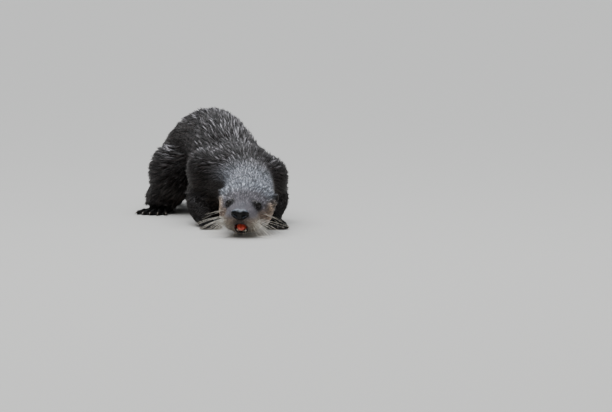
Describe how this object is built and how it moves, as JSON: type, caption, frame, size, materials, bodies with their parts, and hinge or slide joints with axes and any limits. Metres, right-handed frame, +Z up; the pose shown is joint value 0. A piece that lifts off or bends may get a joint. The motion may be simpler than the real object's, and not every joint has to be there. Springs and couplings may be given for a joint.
{
  "type": "river otter, still life-size model",
  "caption": "Still life-size river otter on all fours, head low, back arched, thick tapering tail laid on the floor, mouth a little open.",
  "frame": {"origin": "on the floor, in the middle of the model's own footprint", "axes": "the otter faces -Y with its tail towards +Y, its own left side is at +X, +Z is up"},
  "size_m": [0.3094, 0.9314, 0.2139],
  "materials": {
    "coat": "wet dark brown fur",
    "face_coat": "short damp fur, grey-brown above, tan cheeks",
    "chin_coat": "short pale tan fur",
    "paw_skin": "short dark fur and wet black skin",
    "nose": "bare moist black skin",
    "eye": "wet dark brown eye",
    "tongue": "moist red"
  },
  "bodies": {
    "root": {"head": "face_coat", "lower_jaw": "chin_coat", "neck": "coat", "trunk_front": "coat", "trunk_rear": "coat", "tail_root": "coat", "tail_middle": "coat", "tail_tip": "coat", "foreleg_right": "coat", "forefoot_right": "paw_skin", "foreleg_left": "coat", "forefoot_left": "paw_skin", "hindleg_right": "coat", "hindfoot_right": "paw_skin", "hindleg_left": "coat", "hindfoot_left": "paw_skin", "ear_left": "coat", "ear_right": "coat", "eye_left": "eye", "eye_right": "eye", "nose_pad": "nose", "tongue": "tongue"}
  },
  "joints": []
}
